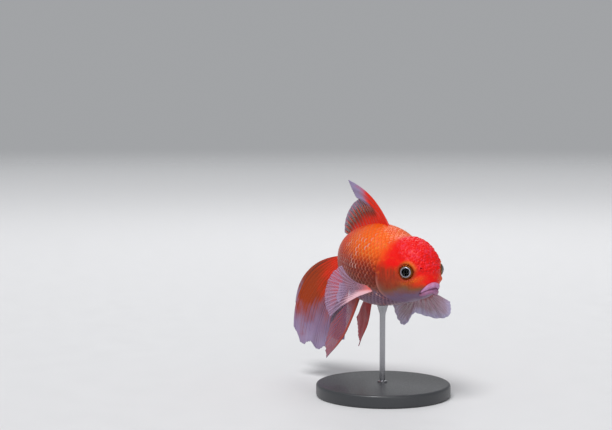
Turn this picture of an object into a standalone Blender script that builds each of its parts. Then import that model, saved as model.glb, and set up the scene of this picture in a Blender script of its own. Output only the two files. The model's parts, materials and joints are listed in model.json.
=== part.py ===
"""A young fancy goldfish with a hood and a double tail, held in its swimming pose by a plain display stand.

Metres. X runs from tail to snout, Y to the fish's left, Z up. The origin is the middle of the stand's
underside. Every size on the fish is a share of LENGTH, so LENGTH resizes it as a whole. A station is a
place along the spine, from 0 at the snout to 1 at the tail root, and a turn is an angle round the body, from
0 at the back through pi / 2 on the fish's left to pi at the belly.
"""

from math import atan2, cos, pi, radians, sin, sqrt

import bmesh
import bpy
import numpy as np
from mathutils import Matrix, Vector

# Driving dimensions
LENGTH = 0.075  # snout to tail root, along the spine
SNOUT_X = 0.036  # how far the snout lies ahead of the stand's middle
SNOUT_HEIGHT = 0.056  # of the spine's front end
NOSE_DOWN = radians(4)
TAIL_TURN = radians(27)  # the tail stalk swings to the fish's left
TAIL_DROOP = radians(20)
BEND_START = 0.60  # station where the spine starts to bend
GAP = 0.0003  # between neighbouring solids
MERGE = 0.00001
FIN_THICK = 0.0006

# The body in shares of LENGTH: station, top, bottom, half width, height of the widest point
BODY = (
    (0.00, 0.050, -0.070, 0.072, -0.020),  # snout
    (0.06, 0.152, -0.100, 0.108, 0.005),  # nostrils
    (0.13, 0.206, -0.124, 0.141, 0.020),  # eyes
    (0.22, 0.231, -0.154, 0.176, 0.018),  # hood
    (0.31, 0.234, -0.184, 0.200, 0.012),  # gill opening
    (0.42, 0.268, -0.212, 0.215, 0.008),  # dorsal fin starts
    (0.53, 0.276, -0.222, 0.212, 0.005),  # deepest point
    (0.66, 0.246, -0.202, 0.175, 0.008),  # vent
    (0.79, 0.188, -0.146, 0.120, 0.014),  # dorsal fin ends
    (0.90, 0.136, -0.090, 0.074, 0.014),  # tail stalk
    (1.00, 0.108, -0.078, 0.050, 0.010),  # tail root
)
NOSE_ROUND = 0.10  # length over which the snout rounds off
STERN_ROUND = 0.04
SECTION_POWER = 0.94  # under 1 makes a cross-section fuller than an ellipse
BODY_SIDES, BODY_RINGS = 28, 24
BALL_SIDES, BALL_RINGS = 16, 10

HEAD_END, TRUNK_END = 0.315, 0.865  # stations of the thin cuts through the body

EYE_STATION, EYE_OUT, EYE_HEIGHT = 0.118, 0.114, 0.052
EYE_RADIUS = 0.046
SOCKET_RISE, SOCKET_REACH, SOCKET_EDGE = 0.010, 0.062, 1.4  # the skin swells round each eye

HOOD_STATION, HOOD_HEIGHT, HOOD_TILT = 0.105, 0.170, radians(30)  # tipped forward over the brow
HOOD_RADII = (0.175, 0.185, 0.095)  # along, across and up
HOOD_RISE, HOOD_LUMP, HOOD_LUMPS = 0.007, 0.002, 80  # swelling, and the height and closeness of its lumps

COVER_STATION, COVER_OUT, COVER_HEIGHT = 0.222, 0.185, -0.040  # gill cover
COVER_RADII = (0.084, 0.045, 0.145)
COVER_RISE = 0.005

MOUTH_FRONT, MOUTH_CORNER = -0.008, 0.058  # stations of the mouth's middle and corners
MOUTH_HALF_WIDTH, MOUTH_HEIGHT, MOUTH_FALL = 0.055, -0.032, 0.050
LIP_RADIUS, LIP_TAPER = 0.0155, 0.45
LIP_PARTING = 0.003  # from the mouth's line to either lip
UNDERBITE = 0.010
LIP_SIDES, LIP_RINGS = 8, 12

FIN_SUNK = 0.1  # a fin starts this share of the way from the skin to the spine
DORSAL_ROOT = (0.425, 0.825)  # stations of a fin's first and last ray
PECTORAL_ROOT, PECTORAL_TURNS = (0.328, 0.356), (radians(121), radians(114))
PELVIC_ROOT, PELVIC_TURN = (0.645, 0.705), radians(164)
ANAL_ROOT, ANAL_TURN = (0.800, 0.870), radians(166)
TAIL_ROOT, TAIL_ROOT_HEIGHTS = 0.975, (0.066, -0.059)
TAIL_GAP = 0.019  # from the spine to either half of the tail, at its root
TAIL_PLEAT, TAIL_PLEATS = 0.012, 3

# A fin is a fan of rays. A control ray: place across the fan, length, way out of the body, way at its tip
DORSAL_RAYS = (
    (0.00, 0.530, (-0.50, -0.03, 0.86), (-0.98, -0.12, 0.27)),
    (0.09, 0.385, (-0.50, -0.03, 0.86), (-0.97, -0.12, 0.12)),
    (0.20, 0.260, (-0.42, -0.03, 0.90), (-0.95, -0.10, 0.30)),
    (0.42, 0.235, (-0.44, -0.02, 0.90), (-0.78, -0.04, 0.62)),
    (0.64, 0.210, (-0.50, 0.00, 0.86), (-0.82, 0.04, 0.52)),
    (0.84, 0.160, (-0.66, 0.02, 0.75), (-0.90, 0.06, 0.36)),
    (1.00, 0.100, (-0.85, 0.04, 0.52), (-0.97, 0.10, 0.10)),
)
RIGHT_PECTORAL_RAYS = (
    (0.00, 0.345, (-0.60, -0.76, -0.25), (-0.37, -0.59, -0.72)),
    (0.50, 0.305, (-0.64, -0.74, -0.12), (-0.62, -0.78, 0.02)),
    (1.00, 0.270, (-0.68, -0.70, 0.02), (-0.32, -0.26, 0.90)),
)
LEFT_PECTORAL_RAYS = (
    (0.00, 0.265, (0.10, 0.93, -0.36), (0.02, 0.85, -0.52)),
    (0.30, 0.295, (0.10, 0.72, -0.69), (0.10, 0.58, -0.81)),
    (0.52, 0.235, (-0.38, 0.40, -0.83), (-0.50, 0.14, -0.87)),
    (0.78, 0.345, (-0.50, 0.20, -0.85), (-0.60, 0.00, -0.83)),
    (1.00, 0.350, (-0.82, 0.20, -0.54), (-0.90, 0.00, -0.50)),
)
RIGHT_PELVIC_RAYS = (
    (0.00, 0.495, (-0.08, -0.22, -0.97), (-0.66, -0.34, -0.76)),
    (0.50, 0.440, (-0.34, -0.22, -0.92), (-0.62, -0.24, -0.78)),
    (1.00, 0.320, (-0.60, -0.16, -0.78), (-0.72, -0.14, -0.68)),
)
LEFT_PELVIC_RAYS = (
    (0.00, 0.470, (-0.34, 0.18, -0.93), (-0.74, 0.14, -0.72)),
    (0.50, 0.410, (-0.46, 0.26, -0.86), (-0.72, 0.20, -0.72)),
    (1.00, 0.280, (-0.60, 0.20, -0.80), (-0.72, 0.16, -0.70)),
)
ANAL_RAYS = (
    (0.00, 0.190, (-0.40, -0.12, -0.90), (-0.80, -0.15, -0.62)),
    (0.50, 0.160, (-0.55, -0.12, -0.82), (-0.85, -0.12, -0.50)),
    (1.00, 0.100, (-0.75, -0.08, -0.62), (-0.95, -0.08, -0.30)),
)
RIGHT_TAIL_RAYS = (
    (0.00, 0.810, (-0.92, -0.34, -0.22), (0.10, -0.08, -0.99)),
    (0.28, 0.715, (-0.74, -0.34, -0.56), (0.00, -0.06, -1.00)),
    (0.50, 0.590, (-0.58, -0.34, -0.74), (-0.12, -0.06, -0.99)),
    (0.76, 0.580, (-0.44, -0.30, -0.84), (-0.16, -0.06, -0.98)),
    (1.00, 0.480, (-0.28, -0.24, -0.92), (-0.12, -0.06, -0.98)),
)
LEFT_TAIL_RAYS = (
    (0.00, 0.850, (-0.98, -0.22, -0.04), (-0.48, 0.20, -0.85)),
    (0.28, 0.780, (-0.90, -0.10, -0.38), (-0.32, 0.12, -0.94)),
    (0.50, 0.600, (-0.74, 0.02, -0.66), (-0.24, 0.04, -0.96)),
    (0.76, 0.550, (-0.60, 0.08, -0.78), (-0.20, 0.04, -0.97)),
    (1.00, 0.470, (-0.42, 0.14, -0.88), (-0.14, 0.06, -0.98)),
)

BASE_RADIUS, BASE_THICK, BASE_BEVEL = 0.031, 0.006, 0.0012
ROD_STATION = 0.475  # where the rod meets the belly
ROD_RADIUS, PAD_RADIUS, PAD_HEIGHT = 0.0013, 0.0026, 0.003
SOCKET_DEPTH = 0.004  # of the rod in the base
BASE_SIDES, ROD_SIDES = 44, 14

COLOURS = {  # slot: base colour, roughness, metallic
    "scaled_skin": ((0.90, 0.20, 0.03, 1), 0.32, 0.0),
    "hood_skin": ((0.80, 0.03, 0.01, 1), 0.40, 0.0),
    "lip_skin": ((0.72, 0.48, 0.52, 1), 0.35, 0.0),
    "fin": ((0.88, 0.42, 0.30, 1), 0.30, 0.0),
    "eye": ((0.03, 0.02, 0.02, 1), 0.08, 0.0),
    "base": ((0.05, 0.05, 0.055, 1), 0.45, 0.0),
    "steel": ((0.60, 0.60, 0.62, 1), 0.30, 1.0),
}


def clear_scene():
    for obj in list(bpy.data.objects):
        bpy.data.objects.remove(obj)


def collection(name):
    made = bpy.data.collections.new(name)
    bpy.context.scene.collection.children.link(made)
    return made


def material(slot):
    found = bpy.data.materials.get(slot)
    if found:
        return found
    colour, roughness, metallic = COLOURS[slot]
    made = bpy.data.materials.new(slot)
    made.use_nodes = True
    shader = made.node_tree.nodes["Principled BSDF"]
    shader.inputs["Base Color"].default_value = colour
    shader.inputs["Roughness"].default_value = roughness
    shader.inputs["Metallic"].default_value = metallic
    made.diffuse_color = colour
    return made


# Shape of the fish


def smooth(at, places, values):
    """The values at a place, on a smooth curve through all of them. A value may be a number or a row."""
    places, values = np.asarray(places, float), np.asarray(values, float)
    slopes = np.gradient(values, places, axis=0)
    i = int(np.clip(np.searchsorted(places, at) - 1, 0, len(places) - 2))
    step = places[i + 1] - places[i]
    t = (at - places[i]) / step
    return (
        (2 * t**3 - 3 * t**2 + 1) * values[i]
        + (t**3 - 2 * t**2 + t) * step * slopes[i]
        + (3 * t**2 - 2 * t**3) * values[i + 1]
        + (t**3 - t**2) * step * slopes[i + 1]
    )


def ease(t):
    t = min(max(t, 0.0), 1.0)
    return t * t * (3 - 2 * t)


def rearward(u):
    """The way from head to tail at a station."""
    bend = ease((u - BEND_START) / (1 - BEND_START))
    droop = TAIL_DROOP * bend - NOSE_DOWN
    turn = TAIL_TURN * bend
    return Vector((-cos(turn) * cos(droop), sin(turn) * cos(droop), -sin(droop)))


def spine_points(steps=100):
    points = [Vector((SNOUT_X, 0, SNOUT_HEIGHT))]
    for i in range(steps):
        points.append(points[-1] + rearward((i + 0.5) / steps) * LENGTH / steps)
    return points


SPINE = spine_points()


def spine(u):
    """The spine's frame at a station: X ahead, Y to the fish's left, Z up."""
    along = u * (len(SPINE) - 1)
    i = int(min(max(along, 0), len(SPINE) - 2))
    point = SPINE[i] + (SPINE[i + 1] - SPINE[i]) * (along - i)
    ahead = -rearward(u)
    left = Vector((0, 0, 1)).cross(ahead).normalized()
    frame = Matrix((ahead, left, ahead.cross(left))).transposed().to_4x4()
    frame.translation = point
    return frame


def beside(u, left, up):
    """A point beside a station, in shares of LENGTH."""
    return spine(u) @ Vector((0, left * LENGTH, up * LENGTH))


STATIONS = [row[0] for row in BODY]
SECTIONS = [row[1:] for row in BODY]


def skin_point(u, turn):
    """The body's surface at a station and a turn."""
    top, bottom, half, middle = smooth(u, STATIONS, SECTIONS)
    nose = sqrt(max(0.0, 1 - (1 - min(u / NOSE_ROUND, 1)) ** 2))
    stern = sqrt(max(0.0, 1 - max((u - 1 + STERN_ROUND) / STERN_ROUND, 0) ** 2))
    reach = top - middle if cos(turn) > 0 else middle - bottom
    across = abs(sin(turn)) ** SECTION_POWER * (1 if sin(turn) > 0 else -1)
    upward = abs(cos(turn)) ** SECTION_POWER * (1 if cos(turn) > 0 else -1)
    left, up = half * across * nose * stern, middle + reach * upward * nose * stern
    from_eye = sqrt((u - EYE_STATION) ** 2 + (up - EYE_HEIGHT) ** 2) / SOCKET_REACH
    left *= 1 + SOCKET_RISE / half * ease(SOCKET_EDGE - from_eye)
    return beside(u, left, up)


def between(ends, s):
    return ends[0] + (ends[1] - ends[0]) * s


def sunk(u, turn):
    """A point under the skin, from which a fin grows."""
    return skin_point(u, turn).lerp(beside(u, 0, 0), FIN_SUNK)


def lip_point(side, place, turn):
    """The surface of a lip: place runs from the right corner (-1) to the left one (1)."""
    angle = place * pi / 2
    back = 1 - cos(angle)
    u = MOUTH_FRONT + (MOUTH_CORNER - MOUTH_FRONT) * back
    if side < 0:
        u += UNDERBITE * cos(angle)
    radius = LIP_RADIUS * (1 - LIP_TAPER * back) * (1 - place**4) ** 0.5
    middle_height = MOUTH_HEIGHT - MOUTH_FALL * back + (radius + LIP_PARTING) * side
    middle = beside(u, MOUTH_HALF_WIDTH * sin(angle), middle_height)
    outward = Vector((cos(angle), sin(angle), 0))
    return middle + (outward * cos(turn) + Vector((0, 0, 1)) * sin(turn)) * radius * LENGTH


def fan_point(root, rays, s, t, pleat=0.0, pleats=0):
    """A point on a fin: s runs across the fan and t from the body to the tip."""
    places = [ray[0] for ray in rays]
    length, *ways = smooth(s, places, [(ray[1], *ray[2], *ray[3]) for ray in rays])
    start, end = Vector(ways[:3]).normalized(), Vector(ways[3:]).normalized()
    reach = start * t + (end - start) * t * t / 2
    wave = Vector((0, pleat * sin(2 * pi * pleats * s) * t * (1 - t / 2), 0))
    return root(s) + (reach * length + wave) * LENGTH


# Where the rays of each fin leave the body
def dorsal_root(s):
    return sunk(between(DORSAL_ROOT, s), 0)


def pectoral_root(side):
    return lambda s: sunk(between(PECTORAL_ROOT, s), side * between(PECTORAL_TURNS, s))


def pelvic_root(side):
    return lambda s: sunk(between(PELVIC_ROOT, s), side * PELVIC_TURN)


def anal_root(side):
    return lambda s: sunk(between(ANAL_ROOT, s), side * ANAL_TURN)


def tail_root(side):
    return lambda s: beside(TAIL_ROOT, side * TAIL_GAP, between(TAIL_ROOT_HEIGHTS, s))


# Meshes


def mesh_from(bm, name):
    """The finished mesh, in flat triangles so that every cut through it comes out the same."""
    bmesh.ops.recalc_face_normals(bm, faces=bm.faces)
    bmesh.ops.triangulate(bm, faces=bm.faces)
    mesh = bpy.data.meshes.new(name)
    bm.to_mesh(mesh)
    bm.free()
    return mesh


def round_mesh(name, place, sides, rings, swell=None):
    """A ball reshaped by place(along, turn), where along runs from 0 at one pole to 1 at the other."""
    bm = bmesh.new()
    bmesh.ops.create_uvsphere(bm, u_segments=sides, v_segments=rings, radius=1)
    for v in bm.verts:
        along = (1 - min(max(v.co.z, -1.0), 1.0)) / 2
        v.co = place(along, atan2(v.co.y, v.co.x))
    bmesh.ops.recalc_face_normals(bm, faces=bm.faces)
    bm.normal_update()
    if swell:
        for v in bm.verts:
            v.co += v.normal * swell(v.co)
    return mesh_from(bm, name)


def body_mesh(name, swell=None):
    """The whole body from snout to tail root. A swell is the distance outwards at a place."""
    return round_mesh(name, skin_point, BODY_SIDES, BODY_RINGS, swell)


def ellipsoid_mesh(name, frame, radii, swell=0.0):
    bm = bmesh.new()
    bmesh.ops.create_uvsphere(bm, u_segments=BALL_SIDES, v_segments=BALL_RINGS, radius=1)
    scale = Matrix.Diagonal([r * LENGTH + swell for r in radii]).to_4x4()
    bmesh.ops.transform(bm, matrix=frame @ scale, verts=bm.verts)
    return mesh_from(bm, name)


def fan_mesh(name, root, rays, across, along, **waves):
    bm = bmesh.new()
    bmesh.ops.create_grid(bm, x_segments=across, y_segments=along, size=1)
    for v in bm.verts:
        v.co = fan_point(root, rays, (v.co.x + 1) / 2, (v.co.y + 1) / 2, **waves)
    bmesh.ops.recalc_face_normals(bm, faces=bm.faces)
    bmesh.ops.solidify(bm, geom=bm.faces[:], thickness=FIN_THICK)
    return mesh_from(bm, name)


# Objects


def add(name, mesh, group, slot=None):
    obj = bpy.data.objects.new(name, mesh)
    group.objects.link(obj)
    if slot:
        mesh.materials.clear()
        mesh.materials.append(material(slot))
        mesh.shade_smooth()
    else:
        obj.hide_render = True
        obj.display_type = "WIRE"
    return obj


def add_turned(name, profile, group, slot, x, sides):
    """A turned piece. Its profile is (radius, height), from the top of its axis down its outer side."""
    mesh = bpy.data.meshes.new(name)
    points = [(radius, 0, height) for radius, height in profile]
    mesh.from_pydata(points, [(i, i + 1) for i in range(len(points) - 1)], [])
    obj = add(name, mesh, group, slot)
    obj.location.x = x
    screw = obj.modifiers.new("turn", "SCREW")
    screw.steps = screw.render_steps = sides
    screw.use_merge_vertices = True
    screw.merge_threshold = MERGE
    return obj


def cut(obj, operation, cutter):
    modifier = obj.modifiers.new(operation.lower() + "_" + cutter.name, "BOOLEAN")
    modifier.operation = operation
    modifier.object = cutter


def length_of_body(name, slot, group, start, end):
    """One stretch of the body between two stations, closed flat where the thin cuts part it."""
    bm = bmesh.new()
    bm.from_mesh(body_mesh(name))
    for station, way in ((start, 1), (end, -1)):
        if station is None:
            continue
        frame = spine(station)
        normal = frame.to_3x3() @ Vector((way, 0, 0))
        geometry = bm.verts[:] + bm.edges[:] + bm.faces[:]
        middle = frame.translation - normal * GAP / 2
        sliced = bmesh.ops.bisect_plane(
            bm, geom=geometry, plane_co=middle, plane_no=normal, clear_outer=True
        )
        rim = [e for e in sliced["geom_cut"] if isinstance(e, bmesh.types.BMEdge)]
        bmesh.ops.edgeloop_fill(bm, edges=rim)
    return add(name, mesh_from(bm, name), group, slot)


def room_swell(co):
    return GAP


def cover_swell(co):
    return COVER_RISE * LENGTH


def hood_swell(co):
    lumps = sin(co.x / LENGTH * HOOD_LUMPS / 2) * sin(co.y / LENGTH * HOOD_LUMPS / 2)
    return (HOOD_RISE + HOOD_LUMP * lumps) * LENGTH


def make_hood(parts, cutters, head):
    """The hood over the brow, and the cutter that keeps its neighbours clear of it."""
    place = Matrix.Translation((0, 0, HOOD_HEIGHT * LENGTH)) @ Matrix.Rotation(HOOD_TILT, 4, "Y")
    frame = spine(HOOD_STATION) @ place
    cell = add("hood_cell", ellipsoid_mesh("hood_cell", frame, HOOD_RADII), cutters)
    room = add("hood_room", ellipsoid_mesh("hood_room", frame, HOOD_RADII, GAP), cutters)
    hood = add("hood", body_mesh("hood", hood_swell), parts, "hood_skin")
    cut(hood, "INTERSECT", cell)
    cut(head, "DIFFERENCE", room)
    return hood, room


def make_eye(side, name, parts, cutters):
    """An eye, and the cutter of its socket."""
    frame = spine(EYE_STATION) @ Matrix.Translation((0, side * EYE_OUT * LENGTH, EYE_HEIGHT * LENGTH))
    radii = (EYE_RADIUS,) * 3
    add("eye_" + name, ellipsoid_mesh("eye", frame, radii), parts, "eye")
    return add("socket_" + name, ellipsoid_mesh("socket", frame, radii, GAP), cutters)


def make_gill_cover(side, name, parts, cutters, head):
    place = (0, side * COVER_OUT * LENGTH, COVER_HEIGHT * LENGTH)
    frame = spine(COVER_STATION) @ Matrix.Translation(place)
    cell = add("cover_cell_" + name, ellipsoid_mesh("cover_cell", frame, COVER_RADII), cutters)
    room = add("cover_room_" + name, ellipsoid_mesh("cover_room", frame, COVER_RADII, GAP), cutters)
    cover = add("gill_cover_" + name, body_mesh("gill_cover", cover_swell), parts, "scaled_skin")
    cut(cover, "INTERSECT", cell)
    cut(head, "DIFFERENCE", room)
    return cover


def make_lip(side, name, parts, body):

    def place(along, turn):
        return lip_point(side, 2 * along - 1, turn)

    lip = add(name, round_mesh(name, place, LIP_SIDES, LIP_RINGS), parts, "lip_skin")
    cut(lip, "DIFFERENCE", body)


def make_body(parts, cutters, body):
    head = length_of_body("head", "scaled_skin", parts, None, HEAD_END)
    length_of_body("trunk", "scaled_skin", parts, HEAD_END, TRUNK_END)
    length_of_body("tail_stalk", "scaled_skin", parts, TRUNK_END, None)
    hood, hood_room = make_hood(parts, cutters, head)
    for side, name in ((-1, "right"), (1, "left")):
        socket = make_eye(side, name, parts, cutters)
        cover = make_gill_cover(side, name, parts, cutters, head)
        cut(cover, "DIFFERENCE", hood_room)
        for neighbour in (head, hood, cover):
            cut(neighbour, "DIFFERENCE", socket)
    make_lip(1, "upper_lip", parts, body)
    make_lip(-1, "lower_lip", parts, body)


def make_fins(parts, body):

    def fin(name, root, rays, across, along, **waves):
        obj = add(name, fan_mesh(name, root, rays, across, along, **waves), parts, "fin")
        cut(obj, "DIFFERENCE", body)

    fin("dorsal_fin", dorsal_root, DORSAL_RAYS, 16, 8)
    fin("pectoral_fin_right", pectoral_root(-1), RIGHT_PECTORAL_RAYS, 9, 7)
    fin("pectoral_fin_left", pectoral_root(1), LEFT_PECTORAL_RAYS, 12, 7)
    fin("pelvic_fin_right", pelvic_root(-1), RIGHT_PELVIC_RAYS, 8, 8)
    fin("pelvic_fin_left", pelvic_root(1), LEFT_PELVIC_RAYS, 8, 8)
    left_anal = [(s, size, (a, -b, c), (d, -e, f)) for s, size, (a, b, c), (d, e, f) in ANAL_RAYS]
    fin("anal_fin_right", anal_root(-1), ANAL_RAYS, 6, 5)
    fin("anal_fin_left", anal_root(1), left_anal, 6, 5)
    waves = {"pleat": TAIL_PLEAT, "pleats": TAIL_PLEATS}
    fin("tail_fin_right", tail_root(-1), RIGHT_TAIL_RAYS, 14, 8, **waves)
    fin("tail_fin_left", tail_root(1), LEFT_TAIL_RAYS, 14, 8, **waves)


def make_stand(parts, cutters, body):
    top, rim = BASE_THICK, BASE_RADIUS - BASE_BEVEL
    corner = ((rim, top), (BASE_RADIUS, top - BASE_BEVEL), (BASE_RADIUS, BASE_BEVEL), (rim, 0))
    base = add_turned("stand_base", ((0, top), *corner, (0, 0)), parts, "base", 0, BASE_SIDES)
    belly, foot = skin_point(ROD_STATION, pi), top - SOCKET_DEPTH
    pad = ((0, belly.z + PAD_HEIGHT), (PAD_RADIUS, belly.z + PAD_HEIGHT), (PAD_RADIUS, belly.z))
    shaft = ((ROD_RADIUS, belly.z - PAD_HEIGHT), (ROD_RADIUS, foot), (0, foot))
    rod = add_turned("stand_rod", pad + shaft, parts, "steel", belly.x, ROD_SIDES)
    cut(rod, "DIFFERENCE", body)
    wall, low, high = ROD_RADIUS + GAP, foot - GAP, top + GAP
    hole = ((0, high), (wall, high), (wall, low), (0, low))
    socket = add_turned("rod_socket", hole, cutters, None, belly.x, ROD_SIDES)
    cut(base, "DIFFERENCE", socket)


def main():
    clear_scene()
    parts, cutters = collection("goldfish"), collection("cutters")
    body = add("body_room", body_mesh("body_room", room_swell), cutters)
    make_body(parts, cutters, body)
    make_fins(parts, body)
    make_stand(parts, cutters, body)


main()
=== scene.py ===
"""Dresses the goldfish on its stand: one skin from lips to tail stalk, a coat of scales, rayed fins and eyes.

Metres, in the frame of the solids. As in the solids, a station is a place along the spine from 0 at the snout
to 1 at the tail root, and a turn is an angle round the body from 0 at the back, through pi / 2 on the fish's
left, to pi at the belly. Sizes on the fish are shares of LENGTH unless their name ends in _M.
"""

import json
from math import cos, pi, radians, sin, tau

import bmesh
import bpy
import numpy as np
from mathutils import Matrix, Vector, noise

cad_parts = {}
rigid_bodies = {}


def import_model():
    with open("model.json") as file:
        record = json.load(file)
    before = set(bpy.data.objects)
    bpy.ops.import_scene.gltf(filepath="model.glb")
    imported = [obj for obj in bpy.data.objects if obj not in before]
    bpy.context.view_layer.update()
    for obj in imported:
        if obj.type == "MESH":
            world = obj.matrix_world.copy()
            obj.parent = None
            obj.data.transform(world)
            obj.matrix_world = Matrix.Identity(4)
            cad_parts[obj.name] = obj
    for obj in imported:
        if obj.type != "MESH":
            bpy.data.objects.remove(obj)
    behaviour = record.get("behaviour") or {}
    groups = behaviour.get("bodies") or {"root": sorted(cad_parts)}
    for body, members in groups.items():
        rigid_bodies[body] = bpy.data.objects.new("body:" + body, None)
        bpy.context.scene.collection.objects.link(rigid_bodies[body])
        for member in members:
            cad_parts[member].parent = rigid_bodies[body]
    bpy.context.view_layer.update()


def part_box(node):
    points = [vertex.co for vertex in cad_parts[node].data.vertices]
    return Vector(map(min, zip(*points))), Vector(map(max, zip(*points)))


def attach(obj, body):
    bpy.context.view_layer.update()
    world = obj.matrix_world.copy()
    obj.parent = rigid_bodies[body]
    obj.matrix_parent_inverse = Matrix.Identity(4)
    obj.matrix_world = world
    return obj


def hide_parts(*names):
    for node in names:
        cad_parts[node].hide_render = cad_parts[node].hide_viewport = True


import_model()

# The sizes of the solids
LENGTH = 0.075
SNOUT = np.array([0.036, 0, 0.056])
NOSE_DOWN, TAIL_TURN, TAIL_DROOP = radians(4), radians(27), radians(20)
BEND_START = 0.60
SPINE_STEPS = 100
BODY = (  # station, top, bottom, half width, height of the widest point
    (0.00, 0.050, -0.070, 0.072, -0.020),
    (0.06, 0.152, -0.100, 0.108, 0.005),
    (0.13, 0.206, -0.124, 0.141, 0.020),
    (0.22, 0.231, -0.154, 0.176, 0.018),
    (0.31, 0.234, -0.184, 0.200, 0.012),
    (0.42, 0.268, -0.212, 0.215, 0.008),
    (0.53, 0.276, -0.222, 0.212, 0.005),
    (0.66, 0.246, -0.202, 0.175, 0.008),
    (0.79, 0.188, -0.146, 0.120, 0.014),
    (0.90, 0.136, -0.090, 0.074, 0.014),
    (1.00, 0.108, -0.078, 0.050, 0.010),
)
NOSE_ROUND, STERN_ROUND, SECTION_POWER = 0.10, 0.04, 0.94
EYE_STATION, EYE_OUT, EYE_HEIGHT, EYE_RADIUS = 0.118, 0.114, 0.052, 0.046
SOCKET_RISE, SOCKET_REACH, SOCKET_EDGE = 0.010, 0.062, 1.4
HOOD_STATION, HOOD_HEIGHT, HOOD_TILT = 0.105, 0.170, radians(30)
HOOD_RADII = np.array([0.175, 0.185, 0.095])
MOUTH_FRONT, MOUTH_CORNER = -0.008, 0.058
MOUTH_HALF_WIDTH, MOUTH_HEIGHT, MOUTH_FALL = 0.055, -0.032, 0.050
LIP_RADIUS, LIP_TAPER, LIP_PARTING, UNDERBITE = 0.0155, 0.45, 0.003, 0.010
FIN_SUNK = 0.1
DORSAL_ROOT = (0.425, 0.825)
PECTORAL_ROOT, PECTORAL_TURNS = (0.328, 0.356), (radians(121), radians(114))
PELVIC_ROOT, PELVIC_TURN = (0.645, 0.705), radians(164)
ANAL_ROOT, ANAL_TURN = (0.800, 0.870), radians(166)
TAIL_ROOT, TAIL_ROOT_HEIGHTS, TAIL_GAP = 0.975, (0.066, -0.059), 0.019
TAIL_PLEAT, TAIL_PLEATS = 0.012, 3
DORSAL_RAYS = (  # place across the fan, length, way out of the body, way at its tip
    (0.00, 0.530, (-0.50, -0.03, 0.86), (-0.98, -0.12, 0.27)),
    (0.09, 0.385, (-0.50, -0.03, 0.86), (-0.97, -0.12, 0.12)),
    (0.20, 0.260, (-0.42, -0.03, 0.90), (-0.95, -0.10, 0.30)),
    (0.42, 0.235, (-0.44, -0.02, 0.90), (-0.78, -0.04, 0.62)),
    (0.64, 0.210, (-0.50, 0.00, 0.86), (-0.82, 0.04, 0.52)),
    (0.84, 0.160, (-0.66, 0.02, 0.75), (-0.90, 0.06, 0.36)),
    (1.00, 0.100, (-0.85, 0.04, 0.52), (-0.97, 0.10, 0.10)),
)
RIGHT_PECTORAL_RAYS = (
    (0.00, 0.345, (-0.60, -0.76, -0.25), (-0.37, -0.59, -0.72)),
    (0.50, 0.305, (-0.64, -0.74, -0.12), (-0.62, -0.78, 0.02)),
    (1.00, 0.270, (-0.68, -0.70, 0.02), (-0.32, -0.26, 0.90)),
)
LEFT_PECTORAL_RAYS = (
    (0.00, 0.265, (0.10, 0.93, -0.36), (0.02, 0.85, -0.52)),
    (0.30, 0.295, (0.10, 0.72, -0.69), (0.10, 0.58, -0.81)),
    (0.52, 0.235, (-0.38, 0.40, -0.83), (-0.50, 0.14, -0.87)),
    (0.78, 0.345, (-0.50, 0.20, -0.85), (-0.60, 0.00, -0.83)),
    (1.00, 0.350, (-0.82, 0.20, -0.54), (-0.90, 0.00, -0.50)),
)
RIGHT_PELVIC_RAYS = (
    (0.00, 0.495, (-0.08, -0.22, -0.97), (-0.66, -0.34, -0.76)),
    (0.50, 0.440, (-0.34, -0.22, -0.92), (-0.62, -0.24, -0.78)),
    (1.00, 0.320, (-0.60, -0.16, -0.78), (-0.72, -0.14, -0.68)),
)
LEFT_PELVIC_RAYS = (
    (0.00, 0.470, (-0.34, 0.18, -0.93), (-0.74, 0.14, -0.72)),
    (0.50, 0.410, (-0.46, 0.26, -0.86), (-0.72, 0.20, -0.72)),
    (1.00, 0.280, (-0.60, 0.20, -0.80), (-0.72, 0.16, -0.70)),
)
RIGHT_ANAL_RAYS = (
    (0.00, 0.190, (-0.40, -0.12, -0.90), (-0.80, -0.15, -0.62)),
    (0.50, 0.160, (-0.55, -0.12, -0.82), (-0.85, -0.12, -0.50)),
    (1.00, 0.100, (-0.75, -0.08, -0.62), (-0.95, -0.08, -0.30)),
)
LEFT_ANAL_RAYS = [(s, size, (a, -b, c), (d, -e, f)) for s, size, (a, b, c), (d, e, f) in RIGHT_ANAL_RAYS]
RIGHT_TAIL_RAYS = (
    (0.00, 0.810, (-0.92, -0.34, -0.22), (0.10, -0.08, -0.99)),
    (0.28, 0.715, (-0.74, -0.34, -0.56), (0.00, -0.06, -1.00)),
    (0.50, 0.590, (-0.58, -0.34, -0.74), (-0.12, -0.06, -0.99)),
    (0.76, 0.580, (-0.44, -0.30, -0.84), (-0.16, -0.06, -0.98)),
    (1.00, 0.480, (-0.28, -0.24, -0.92), (-0.12, -0.06, -0.98)),
)
LEFT_TAIL_RAYS = (
    (0.00, 0.850, (-0.98, -0.22, -0.04), (-0.48, 0.20, -0.85)),
    (0.28, 0.780, (-0.90, -0.10, -0.38), (-0.32, 0.12, -0.94)),
    (0.50, 0.600, (-0.74, 0.02, -0.66), (-0.24, 0.04, -0.96)),
    (0.76, 0.550, (-0.60, 0.08, -0.78), (-0.20, 0.04, -0.97)),
    (1.00, 0.470, (-0.42, 0.14, -0.88), (-0.14, 0.06, -0.98)),
)

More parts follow.
